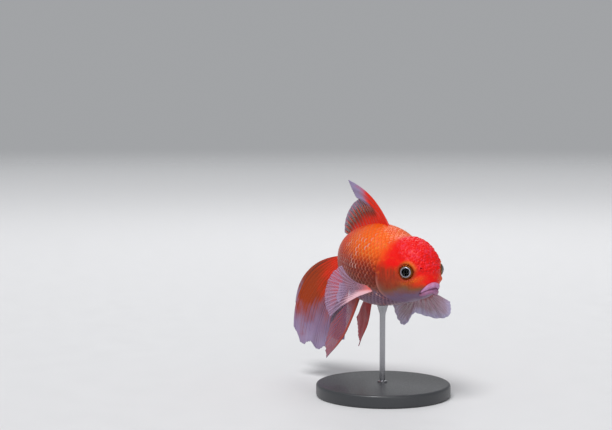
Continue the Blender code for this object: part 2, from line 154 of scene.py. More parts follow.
# The finish's own sizes
SKIN_SIDES, SKIN_RINGS = 264, 368
COAT_DEPTH_M = 0.00028  # of the bed in the skin that the scales lie in
COAT_START, COAT_END, COAT_WIDEST = 0.20, 0.985, 0.53
COAT_LAP = 0.004  # of the first scales over the slits behind the gill covers
SCALE_ROWS = 34  # round the body
SCALE_STEP_M = 0.0012  # from one column of scales to the next, where the body is deepest
SCALE_SHRINK = 0.55  # power of the body's girth that the step follows toward the tail
SCALE_LONG, SCALE_WIDE = 2.8, 1.14  # in steps, and in shares of a row's height
SCALE_THICK_M, SCALE_DOME_M, SCALE_TILT_M = 0.00009, 0.00010, 0.00012
SCALE_ROOT_WIDE, SCALE_ROUND = 0.70, 0.42  # a scale's width at its root, and how rounded its edge is
SCALE_CELLS, SCALE_PATCH = (4, 6), 0.003  # of its grid, and the size of its patch for baking
HEAD_EDGE = (  # where the bare head ends and the scales begin: turn in degrees, station
    (0, 0.262), (25, 0.272), (45, 0.292), (70, 0.306), (95, 0.308),
    (120, 0.298), (145, 0.262), (165, 0.222), (180, 0.208),
)
COVER_RISE_M, SLIT_DEPTH_M, CHEEK_CREASE_M, RIDGE_M = 0.00042, 0.00035, 0.00014, 0.00035
HOOD_RISE_M, HOOD_LUMP_M, HOOD_CELL_M = 0.00035, 0.00042, 0.00125
CHEEK_LUMP_M, CHEEK_CELL_M = 0.00010, 0.0008
EYE_OPENING_M = 0.0032  # radius of the skin's opening over each eye
EYE_FORWARD, EYE_UP = radians(38), radians(2)  # where the eyes look, from straight out
EYE_SIDES = 96
BALL, CORNEA = 0.97, 0.92  # the ball's radius, and the cornea's height, in shares of the eye's radius
PUPIL, PUPIL_BULGE, IRIS_FLAT = 0.55, 0.05, 0.76  # the pupil's radius and rise, and the iris's height
EYE_WELL_M, EYE_DISH_M, EYE_RIM_M = 0.0010, 0.0003, 0.00022
CHEEK_STATION, CHEEK_HEIGHT, CHEEK_RADIUS = 0.135, -0.03, 0.072
RIDGE_STATIONS, RIDGE_HEIGHTS = (0.035, 0.125), (0.022, -0.018)
NOSTRIL_STATION, NOSTRIL_TURN = 0.048, radians(48)
NOSTRIL_RIM_M, NOSTRIL_DEPTH_M = 0.00035, 0.0007
LIP_PARTING_M, LIP_FOLD_M = 0.0004, 0.00012
PECTORAL_FLESH_M = 0.0007
RAY_COLUMNS = 10  # of faces across each ray's share of a fin
FORK_SPREAD, TWIG_SPREAD = 0.24, 0.11  # of a ray's branches, in the same shares
RAY_TAPER, LEAD_TAPER = 0.55, 0.75
WEB_M, RAY_M, LEAD_M, FLESH_M = 0.00007, 0.00019, 0.00022, 0.0006  # half thicknesses of a fin
CREASE_M = 0.00010  # folds along a fin's rays
FIN_FRAY = 0.015  # raggedness of a fin's margin, in shares of its rays
BASE_EDGE_M, ROD_RADIUS_M = 0.0012, 0.0013
FLOOR_RADIUS_M, LIGHTS_AIM = 4.0, Vector((0, 0, 0.055))
NUDGE = 0.001  # of a place, for slopes


# Shape of the fish, for arrays of places at once


def ease(t):
    t = np.clip(t, 0.0, 1.0)
    return t * t * (3 - 2 * t)


def grow(value, low, high):
    """0 up to low, 1 from high on, and smooth between."""
    return ease((value - low) / (high - low))


def hill(distance, width):
    return np.exp(-((distance / width) ** 2))


def smooth(at, places, values):
    """The values at places, on smooth curves through all of them."""
    places, values = np.asarray(places, float), np.asarray(values, float)
    slopes = np.gradient(values, places, axis=0)
    i = np.clip(np.searchsorted(places, at) - 1, 0, len(places) - 2)
    step = places[i + 1] - places[i]
    t = (at - places[i]) / step
    if values.ndim > 1:
        step, t = step[..., None], t[..., None]
    return (
        (2 * t**3 - 3 * t**2 + 1) * values[i]
        + (t**3 - 2 * t**2 + t) * step * slopes[i]
        + (3 * t**2 - 2 * t**3) * values[i + 1]
        + (t**3 - t**2) * step * slopes[i + 1]
    )


def unit(vectors):
    return vectors / np.linalg.norm(vectors, axis=-1, keepdims=True)


def rearward(u):
    """The way from head to tail at a station."""
    bend = grow(u, BEND_START, 1)
    droop, turn = TAIL_DROOP * bend - NOSE_DOWN, TAIL_TURN * bend
    return np.stack([-np.cos(turn) * np.cos(droop), np.sin(turn) * np.cos(droop), -np.sin(droop)], axis=-1)


SPINE_WAYS = rearward((np.arange(SPINE_STEPS) + 0.5) / SPINE_STEPS) * LENGTH / SPINE_STEPS
SPINE = np.vstack([SNOUT, SNOUT + np.cumsum(SPINE_WAYS, axis=0)])


def beside(u, left, up):
    """A point beside a station."""
    u, left, up = np.broadcast_arrays(u, left, up)
    along = u * SPINE_STEPS
    i = np.clip(along, 0, SPINE_STEPS - 1).astype(int)
    point = SPINE[i] + (SPINE[i + 1] - SPINE[i]) * (along - i)[..., None]
    ahead = -rearward(u)
    side = unit(np.cross((0, 0, 1), ahead))
    return point + (side * left[..., None] + np.cross(ahead, side) * up[..., None]) * LENGTH


def section(u, turn):
    """How far left and how far up of the spine the surface lies."""
    top, bottom, half, middle = smooth(u, [row[0] for row in BODY], [row[1:] for row in BODY]).T
    nose = np.sqrt(np.maximum(0, 1 - (1 - np.minimum(u / NOSE_ROUND, 1)) ** 2))
    stern = np.sqrt(np.maximum(0, 1 - np.maximum((u - 1 + STERN_ROUND) / STERN_ROUND, 0) ** 2))
    reach = np.where(np.cos(turn) > 0, top - middle, middle - bottom)
    across = np.abs(np.sin(turn)) ** SECTION_POWER * np.sign(np.sin(turn))
    upward = np.abs(np.cos(turn)) ** SECTION_POWER * np.sign(np.cos(turn))
    left, up = half * across * nose * stern, middle + reach * upward * nose * stern
    from_eye = np.hypot(u - EYE_STATION, up - EYE_HEIGHT) / SOCKET_REACH
    return left * (1 + SOCKET_RISE / half * ease(SOCKET_EDGE - from_eye)), up


def skin_point(u, turn):
    u, turn = np.broadcast_arrays(np.asarray(u, float), np.asarray(turn, float))
    left, up = section(u.ravel(), turn.ravel())
    return beside(u, left.reshape(u.shape), up.reshape(u.shape))


def between(ends, s):
    return ends[0] + (ends[1] - ends[0]) * s


def sunk(u, turn):
    """A point under the skin, from which a fin grows."""
    surface = skin_point(u, turn)
    return surface + (beside(u, 0, 0) - surface) * FIN_SUNK


def fan_point(root, rays, s, t, pleat=0.0, pleats=0):
    """A point on a fin: s runs across the fan and t from the body to the tip."""
    values = smooth(s, [ray[0] for ray in rays], [(ray[1], *ray[2], *ray[3]) for ray in rays])
    length, start, end = values[:, :1], unit(values[:, 1:4]), unit(values[:, 4:])
    t = t[:, None]
    wave = pleat * np.sin(tau * pleats * s)[:, None] * t * (1 - t / 2) * np.array([0, 1, 0])
    return root(s) + ((start * t + (end - start) * t * t / 2) * length + wave) * LENGTH


def dorsal_root(s):
    return sunk(between(DORSAL_ROOT, s), 0)


def pectoral_root(side):
    return lambda s: sunk(between(PECTORAL_ROOT, s), side * between(PECTORAL_TURNS, s))


def pelvic_root(side):
    return lambda s: sunk(between(PELVIC_ROOT, s), side * PELVIC_TURN)


def anal_root(side):
    return lambda s: sunk(between(ANAL_ROOT, s), side * ANAL_TURN)


def tail_root(side):
    return lambda s: beside(TAIL_ROOT, side * TAIL_GAP, between(TAIL_ROOT_HEIGHTS, s))


def head_edge(turn):
    """The station where the bare head ends, at a turn."""
    return smooth(np.degrees(np.abs(turn)), [row[0] for row in HEAD_EDGE], [row[1] for row in HEAD_EDGE])


# Nodes of the materials


class Net:
    """Puts nodes into a material or a group. A value is a socket or a constant. Colours have three parts."""

    def __init__(self, tree):
        self.tree = tree

    def feed(self, socket, value):
        if isinstance(value, bpy.types.NodeSocket):
            self.tree.links.new(value, socket)
        else:
            socket.default_value = (*value, 1) if socket.type == "RGBA" else value

    def add(self, kind, inputs=(), **settings):
        node = self.tree.nodes.new("ShaderNode" + kind)
        for key, value in settings.items():
            setattr(node, key, value)
        for key, value in dict(inputs).items():
            self.feed(node.inputs[key], value)
        return node

    def maths(self, operation, a, b=0.0, clamp=False):
        return self.add("Math", {0: a, 1: b}, operation=operation, use_clamp=clamp).outputs[0]

    def plus(self, a, b):
        return self.maths("ADD", a, b)

    def minus(self, a, b):
        return self.maths("SUBTRACT", a, b)

    def times(self, product, *others):
        for other in others:
            product = self.maths("MULTIPLY", product, other)
        return product

    def span(self, value, low, high, to_low=0.0, to_high=1.0):
        """to_low up to low, to_high from high on, and smooth between."""
        inputs = {0: value, 1: low, 2: high, 3: to_low, 4: to_high}
        return self.add("MapRange", inputs, interpolation_type="SMOOTHSTEP").outputs[0]

    def mix(self, share, a, b):
        return self.add("Mix", {0: share, 6: a, 7: b}, data_type="RGBA").outputs[2]

    def ramp(self, at, stops):
        node = self.add("ValToRGB", {0: at})
        elements = node.color_ramp.elements
        while len(elements) < len(stops):
            elements.new(1.0)
        for element, (place, colour) in zip(elements, stops):
            element.position, element.color = place, (*colour, 1)
        return node.outputs[0]

    def noise(self, vector, scale, detail=2.0, rough=0.5):
        inputs = {"Vector": vector, "Scale": scale, "Detail": detail, "Roughness": rough}
        return self.add("TexNoise", inputs).outputs[0]

    def cells(self, vector, scale):
        return self.add("TexVoronoi", {"Vector": vector, "Scale": scale}).outputs["Distance"]

    def stretch(self, vector, scale):
        return self.add("Mapping", {"Vector": vector, "Scale": scale}).outputs[0]

    def objects(self):
        return self.add("TexCoord").outputs["Object"]

    def attribute(self, name):
        return self.add("Attribute", attribute_name=name).outputs["Vector"]

    def split(self, vector):
        return self.add("SeparateXYZ", {0: vector}).outputs

    def join(self, x, y):
        return self.add("CombineXYZ", {0: x, 1: y}).outputs[0]

    def bump(self, height, distance, strength):
        return self.add("Bump", {"Height": height, "Distance": distance, "Strength": strength}).outputs[0]

    def use(self, group, inputs):
        return self.add("Group", inputs, node_tree=group).outputs


def node_group(name, inputs, outputs, build):
    """A group whose build(net, inputs) returns a dictionary of what it puts out."""
    tree = bpy.data.node_groups.new(name, "ShaderNodeTree")
    for way, sockets in (("INPUT", inputs), ("OUTPUT", outputs)):
        for label, kind in sockets.items():
            tree.interface.new_socket(label, in_out=way, socket_type="NodeSocket" + kind)
    results = build(Net(tree), tree.nodes.new("NodeGroupInput").outputs)
    end = tree.nodes.new("NodeGroupOutput")
    for label, value in results.items():
        tree.links.new(value, end.inputs[label])
    return tree


def material(name, build, fixed):
    """A material with fixed values on its shader, and what build(net) returns fed into it."""
    made = bpy.data.materials.new(name)
    made.use_nodes = True
    net, shader = Net(made.node_tree), made.node_tree.nodes["Principled BSDF"]
    for key, value in {**fixed, **build(net)}.items():
        net.feed(shader.inputs[key], value)
    return made


# Finishes


RED, FLAME, ORANGE = (0.83, 0.005, 0.003), (0.84, 0.032, 0.004), (0.91, 0.112, 0.004)
# pink for a painted highlight on the hood; gold, partly painted light, for the upper trunk
PINK_HIGHLIGHT, LIT_GOLD = (0.84, 0.060, 0.130), (0.90, 0.26, 0.030)
# the maroon here and the belly's colour below are darkened with painted shade, as if the light came from
# above
MAROON_IN_PAINTED_SHADE, OLIVE, SHADED_BROWN = (0.19, 0.022, 0.010), (0.26, 0.105, 0.045), (0.30, 0.030, 0.009)
LILAC, MILK, SALMON = (0.30, 0.24, 0.40), (0.52, 0.47, 0.72), (0.42, 0.060, 0.040)
# wine for painted shade in the mouth, the gill slits and the nostrils
BELLY_IN_PAINTED_SHADE, WINE_SHADE, MIST = (0.22, 0.14, 0.23), (0.10, 0.008, 0.022), (0.35, 0.295, 0.50)
LIPS, LIPS_FLUSHED = (0.52, 0.26, 0.47), (0.42, 0.12, 0.22)
CHEEK, COVER_EDGE = (0.90, 0.20, 0.014), (0.66, 0.26, 0.20)
LID_BELOW, LID_ABOVE = (0.40, 0.040, 0.008), (0.84, 0.19, 0.020)
# colours of the painted glints on the scales
SHEEN_BELOW, SHEEN_ABOVE, SHEEN_PALE = (0.60, 0.17, 0.12), (1.0, 0.33, 0.06), (0.95, 0.62, 0.56)
# painted shadow at the scales' roots, and the dark line round each scale
SCALE_ROOT_SHADOW, SCALE_LINE = (0.10, 0.008, 0.003), (0.26, 0.020, 0.006)
# partly the fish's own colours and partly painted shade: below the orange back, the head, the flank and the
# belly are painted darker as if lit from above; the belly's own colour is pale
HEAD_COLOURS_AND_SHADE = (  # height from the belly at 0 to the back at about 1, colour
    (0.13, BELLY_IN_PAINTED_SHADE), (0.20, (0.26, 0.11, 0.12)), (0.27, OLIVE), (0.37, (0.48, 0.055, 0.012)),
    (0.50, FLAME), (0.60, RED),
)
TRUNK_COLOURS_AND_SHADE = (
    (0.17, BELLY_IN_PAINTED_SHADE), (0.25, (0.20, 0.09, 0.09)), (0.32, (0.22, 0.055, 0.032)), (0.39, MAROON_IN_PAINTED_SHADE),
    (0.50, (0.24, 0.020, 0.007)), (0.57, (0.46, 0.036, 0.008)), (0.66, (0.86, 0.105, 0.008)), (0.90, ORANGE),
    (1.00, (0.82, 0.072, 0.005)),
)
# painted shade: the tail stalk is darker than the trunk, as if in the shade of the body's bulge, and darkest
# below
STALK_COLOURS_AND_SHADE = (
    (0.00, (0.32, 0.07, 0.05)), (0.25, (0.30, 0.026, 0.012)), (0.50, (0.38, 0.022, 0.008)),
    (0.90, (0.78, 0.040, 0.006)),
)


def fish_marks(net, given):
    """The fish's colours, the same on skin and scales, from place (station, level, side) and its features."""
    where = given["Where"]
    station, level, _ = net.split(given["Place"])
    hood, lip, painted_shade = net.split(given["Features"])
    eye_ring, cover_edge, cheek = net.split(given["Tints"])

    # from the belly to the back, with borders that wander; the darker colours below are partly painted shade
    wander = net.times(net.minus(net.noise(where, 240.0, 3.0), 0.5), 0.20)
    height = net.plus(net.times(level, 0.46), net.plus(wander, 0.47))
    head = net.ramp(net.plus(height, net.span(station, 0.04, 0.16, 0.05, 0.0)), HEAD_COLOURS_AND_SHADE)
    streaks = net.noise(net.stretch(where, (1, 1, 0.25)), 900.0, 3.0)
    # partly the gill cover's own brown mottling and partly painted shade: behind the eye, at mid height, the
    # cheek and gill cover are darkened to brown in streaks
    brown_and_shade_behind_eye = net.times(
        net.span(station, 0.09, 0.17),
        net.span(height, 0.64, 0.50),
        net.span(height, 0.22, 0.34),
        net.span(streaks, 0.35, 0.60, 0.95, 0.60),
    )
    head = net.mix(brown_and_shade_behind_eye, head, SHADED_BROWN)
    colour = net.mix(net.span(station, 0.22, 0.33), head, net.ramp(height, TRUNK_COLOURS_AND_SHADE))
    # the tail stalk's colours, darkened with painted shade
    colour = net.mix(net.span(station, 0.50, 0.74), colour, net.ramp(height, STALK_COLOURS_AND_SHADE))

    # blotches: gold on the upper trunk, partly the fish's own and partly painted light; pink on the hood, a
    # painted highlight, more of it toward the top; red on the lips
    blush = net.noise(where, 620.0, 4.0)
    gold_and_painted_light = net.times(
        net.span(blush, 0.54, 0.72, 0.0, 0.5),
        net.span(height, 0.3, 0.6),
        net.span(station, 0.24, 0.34, 0.25, 1.0),
    )
    colour = net.mix(gold_and_painted_light, colour, LIT_GOLD)
    painted_pink_highlight = net.times(net.span(blush, 0.46, 0.72, 0.0, 0.5), net.span(level, 0.30, 0.85, 0.25, 1.0))
    colour = net.mix(hood, colour, net.mix(painted_pink_highlight, RED, PINK_HIGHLIGHT))
    colour = net.mix(cheek, colour, CHEEK)
    colour = net.mix(cover_edge, colour, COVER_EDGE)
    lid = net.mix(net.span(level, 0.34, 0.54), LID_BELOW, LID_ABOVE)
    colour = net.mix(eye_ring, colour, lid)
    flush = net.span(blush, 0.42, 0.66, 0.0, 0.6)
    colour = net.mix(lip, colour, net.mix(flush, LIPS, LIPS_FLUSHED))
    # painted shade in the mouth, the gill slits and the nostrils
    return {"Colour": net.mix(painted_shade, colour, WINE_SHADE)}


MARKS = node_group(
    "fish_marks",
    dict.fromkeys(("Place", "Where", "Features", "Tints"), "Vector"),
    {"Colour": "Color"},
    fish_marks,
)


def skin_finish(net):
    where = net.objects()
    given = {key: net.attribute(key.lower()) for key in ("Place", "Features", "Tints")}
    colour = net.use(MARKS, given | {"Where": where})["Colour"]
    pores = net.cells(where, 2600.0)
    mottle = net.noise(where, 1500.0, 4.0)
    return {
        "Base Color": net.mix(net.span(pores, 0.10, 0.45, 0.16, 0.0), colour, (0.25, 0.015, 0.01)),
        "Roughness": net.span(mottle, 0.3, 0.7, 0.34, 0.52),
        "Normal": net.bump(net.plus(net.times(pores, 0.6), mottle), 0.00012, 0.5),
    }


def scale_finish(net):
    """Each scale has a painted shadow at its root, where it lies under the last one's edge, a painted glint
    along its free edge and a dark line round it.
    """
    where, place = net.objects(), net.attribute("place")
    station, level, _ = net.split(place)
    along, across, chance = net.split(net.attribute("scale"))
    wide = net.maths("ABSOLUTE", across)
    reach = net.plus(along, net.times(wide, 0.20))  # from 0 at the root to about 1 all along the free edge
    bare = {"Features": (0, 0, 0), "Tints": (0, 0, 0)}
    colour = net.use(MARKS, bare | {"Place": place, "Where": where})["Colour"]

    # painted shadow at the roots and the dark lines round the scales fade toward the back
    lined = net.span(level, 0.70, 0.05, 0.10, 1.0)
    root = net.times(net.span(reach, 0.58, 0.74, 0.45, 0.0), lined)
    edge = net.times(net.span(reach, 0.93, 1.03, 0.0, 0.50), lined)

    # painted glints, with the scales' own metallic shine: they come in patches, and most of them on the
    # shoulder
    crescent = net.times(
        net.span(reach, 0.66, 0.80),
        net.span(reach, 0.88, 0.97, 1.0, 0.0),
        net.span(wide, 0.55, 0.95, 1.0, 0.0),
    )
    shoulder = net.times(
        net.span(station, 0.30, 0.38),
        net.span(station, 0.50, 0.62, 1.0, 0.0),
        net.span(level, -0.15, 0.10),
    )
    patch = net.span(net.noise(where, 130.0, 2.0), 0.46, 0.66, 0.12, 1.0)
    patch = net.maths("MAXIMUM", patch, net.times(shoulder, 0.8))
    shine = net.times(crescent, patch, net.span(chance, 0.0, 1.0, 0.40, 0.95))
    shine = net.times(shine, net.span(level, 0.55, 0.90, 1.0, 0.35))
    # colours of the painted glints, brighter toward the back, with a few pale ones
    sheen = net.mix(net.span(level, 0.0, 0.60), SHEEN_BELOW, SHEEN_ABOVE)
    sheen = net.mix(net.span(chance, 0.78, 0.90, 0.0, 0.7), sheen, SHEEN_PALE)

    colour = net.mix(root, colour, SCALE_ROOT_SHADOW)
    colour = net.mix(shine, colour, sheen)
    colour = net.mix(edge, colour, SCALE_LINE)
    return {
        "Base Color": colour,
        "Metallic": net.times(shine, 0.5),
        "Roughness": net.span(net.noise(where, 2200.0, 3.0), 0.3, 0.7, 0.26, 0.42),
        "Normal": net.bump(net.maths("SINE", net.times(reach, 70.0)), 0.00003, 0.35),
    }


def fin_marks(net, given):
    """A fin's colour, clearness and relief, from fan (across, along, ray)."""
    across, along, ray = net.split(given["Fan"])
    streaks = net.noise(net.join(net.times(across, 34.0), along), 1.0, 3.0, 0.6)
    drift = net.plus(net.noise(given["Where"], 200.0, 2.0), net.times(streaks, 0.8))
    drifting = net.plus(along, net.times(net.minus(drift, 0.9), 0.34))

    # the solid part of the web, farther out along the rays and in the band behind the first ray
    reach = net.minus(drifting, net.times(ray, 0.12))
    reach = net.minus(reach, net.span(across, 0.0, given["Band"], given["Band reach"], 0.0))
    open_web = net.span(reach, net.minus(given["Flush"], 0.22), net.plus(given["Flush"], 0.20))
    lead = net.span(across, 0.0, given["Band"], given["Band colour"], 0.0)
    middle = net.span(net.minus(drifting, lead), 0.12, 0.55)
    solid = net.mix(middle, given["Root"], given["Middle"])
    rays, web = (net.mix(open_web, solid, given[part]) for part in ("Rays", "Web"))
    colour = net.mix(net.span(ray, 0.15, 0.80), web, rays)

    # the point of the first ray and the rim
    point = net.times(net.span(across, 0.34, 0.14), net.span(drifting, 0.62, 0.88), given["Pale point"])
    rim = net.times(net.span(drifting, 0.66, 1.0), given["Rim"])
    colour = net.mix(net.maths("MAXIMUM", point, rim), colour, given["Margin"])

    clear = net.times(
        net.span(open_web, 0.0, 1.0, given["Clear"], given["Clearest"]),
        net.span(ray, 0.1, 0.8, 1.0, given["Clear rays"]),
        net.span(along, 0.02, 0.16),
    )
    joints = net.times(net.maths("SINE", net.times(along, 330.0)), ray, 0.06)
    alpha = net.maths("SUBTRACT", 1.0, clear, clamp=True)
    return {"Colour": colour, "Alpha": alpha, "Height": net.plus(ray, joints)}


FIN_COLOURS = ("Root", "Middle", "Rays", "Web", "Margin")
FIN_VALUES = (
    "Flush",  # how far the solid part of the web reaches
    "Band",  # width of the band behind the first ray, and how much farther two things reach in it:
    "Band reach",  # the solid part
    "Band colour",  # the root's colour
    "Clear",  # how clear the web is at the root
    "Clearest",  # and at the tip
    "Clear rays",  # the share of that on the rays
    "Pale point",  # how much of the margin's colour the point of the first ray takes
    "Rim",  # and the fin's rim
)
FIN_MARKS = node_group(
    "fin_marks",
    {"Fan": "Vector", "Where": "Vector"}
    | dict.fromkeys(FIN_COLOURS, "Color")
    | dict.fromkeys(FIN_VALUES, "Float"),
    {"Colour": "Color", "Alpha": "Float", "Height": "Float"},
    fin_marks,
)
FIN_LOOKS = {  # FIN_COLOURS and FIN_VALUES of each fin, or of both fins of a pair
    # the dorsal fin's dark brown middle, beyond its red root, is painted shade where its front folds over
    "dorsal_fin": (
        ((0.70, 0.021, 0.004), (0.17, 0.013, 0.003), (0.60, 0.062, 0.020), (0.13, 0.030, 0.022), LILAC),
        (0.46, 0.30, 0.54, 0.66, 0.02, 0.30, 0.12, 1.0, 0.70),
    ),
    "pectoral_fin_right": (
        ((0.76, 0.11, 0.08), (0.86, 0.52, 0.58), (0.44, 0.28, 0.42), (0.34, 0.18, 0.28), (0.42, 0.34, 0.54)),
        (0.22, 0.55, 0.40, -0.30, 0.06, 0.66, 0.70, 0.0, 0.40),
    ),
    "pectoral_fin_left": (
        (SALMON, (0.42, 0.12, 0.11), (0.46, 0.26, 0.34), (0.29, 0.12, 0.19), MILK),
        (0.36, 0.10, 0.0, 0.0, 0.08, 0.38, 0.5, 0.0, 0.9),
    ),
    "pelvic_fin_right": (
        (SALMON, (0.42, 0.062, 0.034), (0.46, 0.082, 0.050), (0.18, 0.086, 0.17), LILAC),
        (0.20, 0.26, 0.60, 0.0, 0.06, 0.36, 0.3, 0.0, 0.3),
    ),
    "pelvic_fin_left": (
        ((0.62, 0.060, 0.055), (0.66, 0.075, 0.060), (0.70, 0.088, 0.075), (0.55, 0.10, 0.13), LILAC),
        (0.34, 0.26, 0.50, 0.0, 0.05, 0.22, 0.3, 0.0, 0.2),
    ),
    "anal_fin": (
        (SALMON, (0.50, 0.24, 0.24), (0.46, 0.38, 0.60), (0.24, 0.19, 0.36), MILK),
        (0.30, 0.10, 0.10, 0.0, 0.10, 0.40, 0.5, 0.0, 0.9),
    ),
    "tail_fin": (
        ((0.80, 0.026, 0.005), (0.34, 0.040, 0.005), (0.38, 0.18, 0.24), (0.28, 0.20, 0.36), MIST),
        (0.46, 0.62, 0.42, -0.14, 0.03, 0.26, 0.4, 0.0, 0.7),
    ),
}


def fin_material(name, colours, values):
    def build(net):
        inputs = {"Fan": net.attribute("fan"), "Where": net.objects()}
        inputs |= dict(zip(FIN_COLOURS, colours)) | dict(zip(FIN_VALUES, values))
        made = net.use(FIN_MARKS, inputs)
        normal = net.bump(made["Height"], 0.0001, 0.5)
        return {"Base Color": made["Colour"], "Alpha": made["Alpha"], "Normal": normal}

    damp = {"Roughness": 0.36, "Specular IOR Level": 0.25, "Coat Weight": 0.06, "Coat Roughness": 0.2}
    return material(name, build, damp)


def iris_finish(net):
    share, x, y = net.split(net.attribute("iris"))
    streaks = net.noise(net.join(x, y), 6.0, 4.0, 0.7)
    ring = net.plus(share, net.times(net.minus(streaks, 0.5), 0.10))
    colour = net.ramp(ring, (  # silver, olive, orange
        (0.00, (0.46, 0.44, 0.54)), (0.62, (0.40, 0.38, 0.47)), (0.67, (0.24, 0.19, 0.18)),
        (0.72, (0.11, 0.050, 0.016)), (0.78, (0.30, 0.12, 0.016)), (0.84, (0.16, 0.055, 0.010)),
        (0.90, (0.55, 0.09, 0.01)), (1.00, (0.72, 0.05, 0.01)),
    ))
    colour = net.mix(net.span(streaks, 0.5, 0.75, 0.0, 0.5), colour, (0.55, 0.36, 0.12))
    outside = net.span(share, PUPIL - 0.01, PUPIL + 0.01)
    return {
        "Base Color": net.mix(outside, (0.001, 0.001, 0.0015), colour),
        "Metallic": net.times(outside, 0.6),
        "Normal": net.bump(net.times(outside, streaks), 0.00008, 0.5),
    }


def paint_finish(net):
    where = net.objects()
    fleck, peel = net.noise(where, 1800.0, 3.0), net.noise(where, 420.0, 2.0)
    return {
        "Base Color": net.mix(fleck, (0.028, 0.030, 0.034), (0.045, 0.047, 0.052)),
        "Roughness": net.span(fleck, 0.3, 0.7, 0.36, 0.50),
        "Normal": net.bump(net.plus(peel, net.times(fleck, 0.4)), 0.0001, 0.25),
    }


def steel_finish(net):
    brushed = net.noise(net.stretch(net.objects(), (1, 1, 60)), 900.0, 3.0)
    return {
        "Base Color": net.mix(brushed, (0.30, 0.30, 0.32), (0.42, 0.42, 0.44)),
        "Roughness": net.span(brushed, 0.3, 0.7, 0.20, 0.36),
        "Normal": net.bump(brushed, 0.00003, 0.4),
    }


def floor_finish(net):
    """A pale floor that fades into the studio's own light far from the stand."""
    where = net.objects()
    speck = net.noise(where, 60.0, 3.0)
    far = net.add("VectorMath", {0: where}, operation="LENGTH").outputs["Value"]
    return {
        "Base Color": net.mix(speck, (0.71, 0.71, 0.72), (0.73, 0.73, 0.74)),
        "Roughness": net.span(speck, 0.3, 0.7, 0.55, 0.70),
        "Alpha": net.span(far, 0.5, FLOOR_RADIUS_M, 1.0, 0.0),
    }


# Making pieces


def mesh_of(name, bm):
    mesh = bpy.data.meshes.new(name)
    bm.to_mesh(mesh)
    bm.free()
    return mesh


def add_object(name, data):
    obj = bpy.data.objects.new(name, data)
    bpy.context.scene.collection.objects.link(obj)
    return obj


def finish_piece(name, bm, finish, replaced, smooth_angle=None, attributes=()):
    """Makes a piece of a bmesh. The attributes are vectors, one to a vertex, by name."""
    mesh = mesh_of(name, bm)
    for key, values in dict(attributes).items():
        vector_attribute(mesh, key, values)
    return place_piece(name, mesh, finish, replaced, smooth_angle)


def place_piece(name, mesh, finish, replaced, smooth_angle=None):
    obj = add_object(name, mesh)
    mesh.materials.append(finish)
    mesh.shade_smooth()
    if smooth_angle:
        mesh.set_sharp_from_angle(angle=smooth_angle)
    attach(obj, "root")
    if replaced:
        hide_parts(*replaced)
    return obj


def vector_attribute(mesh, name, values):
    made = mesh.attributes.new(name, "FLOAT_VECTOR", "POINT")
    made.data.foreach_set("vector", np.asarray(values, np.float32).ravel())


def positions(bm):
    return np.array([v.co for v in bm.verts])


def move(bm, points):
    for v, point in zip(bm.verts, points):
        v.co = point


# The skin


def eye_centre(side):
    return beside(EYE_STATION, side * EYE_OUT, EYE_HEIGHT)


def look_way(side):
    return np.array([sin(EYE_FORWARD) * cos(EYE_UP), side * cos(EYE_FORWARD) * cos(EYE_UP), sin(EYE_UP)])


def lip_line(side, samples=81):
    """The middle of a lip from its right corner to its left one, and its radius there, both in metres."""
    place = np.linspace(-1, 1, samples)
    back = 1 - np.cos(place * pi / 2)
    u = MOUTH_FRONT + (MOUTH_CORNER - MOUTH_FRONT) * back
    if side < 0:
        u = u + UNDERBITE * np.cos(place * pi / 2)
    radius = LIP_RADIUS * (1 - LIP_TAPER * back) * np.sqrt(1 - place**4)
    height = MOUTH_HEIGHT - MOUTH_FALL * back + (radius + LIP_PARTING) * side
    return beside(u, MOUTH_HALF_WIDTH * np.sin(place * pi / 2), height), radius * LENGTH


def roll_height(points, normals, line, radius):
    """How far along its normal each point has to go to a roll's surface. It's negative where it misses."""
    to_line = line[None] - points[:, None]
    along = (to_line * normals[:, None]).sum(-1)
    aside = np.sqrt(np.maximum((to_line**2).sum(-1) - along**2, 0))
    reach = along + np.sqrt(np.maximum(radius**2 - aside**2, 0)) - 3 * np.maximum(aside - radius, 0)
    return reach.max(axis=1)


def blended(height, ground, softness):
    """The higher of two surfaces, joined by a soft fillet."""
    return (height + ground + np.sqrt((height - ground) ** 2 + softness**2)) / 2 - softness / 2


def lumps(points, size):
    """Rounded lumps parted by creases, from 0 to 1."""
    found = [noise.voronoi(Vector(p / size))[0][:2] for p in points]
    first, second = np.array(found).T
    return ease((second - first) / 0.55)


def hood_cover(points):
    """1 in the middle of the hood, fading to 0 at its edge."""
    middle = beside(HOOD_STATION, 0, HOOD_HEIGHT)
    tilt = Matrix.Rotation(HOOD_TILT + NOSE_DOWN, 3, "Y")
    local = (points - middle) @ np.array(tilt) / (HOOD_RADII * LENGTH)
    return 1 - grow(np.linalg.norm(local, axis=1), 0.78, 1.12)


def cover_relief(u, turn, up):
    """The rise of the gill covers and the coat's bed, the slit between them, and the covers' pale edge."""
    aside, ahead = np.abs(turn), head_edge(turn) - u
    sides = grow(aside, radians(50), radians(90))
    slit = hill(ahead + 0.005, 0.005) * sides
    from_cheek = np.hypot(u - CHEEK_STATION, (up - CHEEK_HEIGHT) / 1.6)
    crease = hill(from_cheek - CHEEK_RADIUS, 0.006) * grow(u, 0.15, 0.18)
    rise = COVER_RISE_M * grow(ahead, 0, 0.008) * grow(u, 0.14, 0.23) * sides
    rise -= COAT_DEPTH_M * grow(-ahead, 0, 0.02) + SLIT_DEPTH_M * slit + CHEEK_CREASE_M * crease
    lower = grow(aside, radians(84), radians(104)) * (1 - grow(aside, radians(125), radians(145)))
    return rise, slit, 0.45 * hill(ahead - 0.012, 0.010) * lower


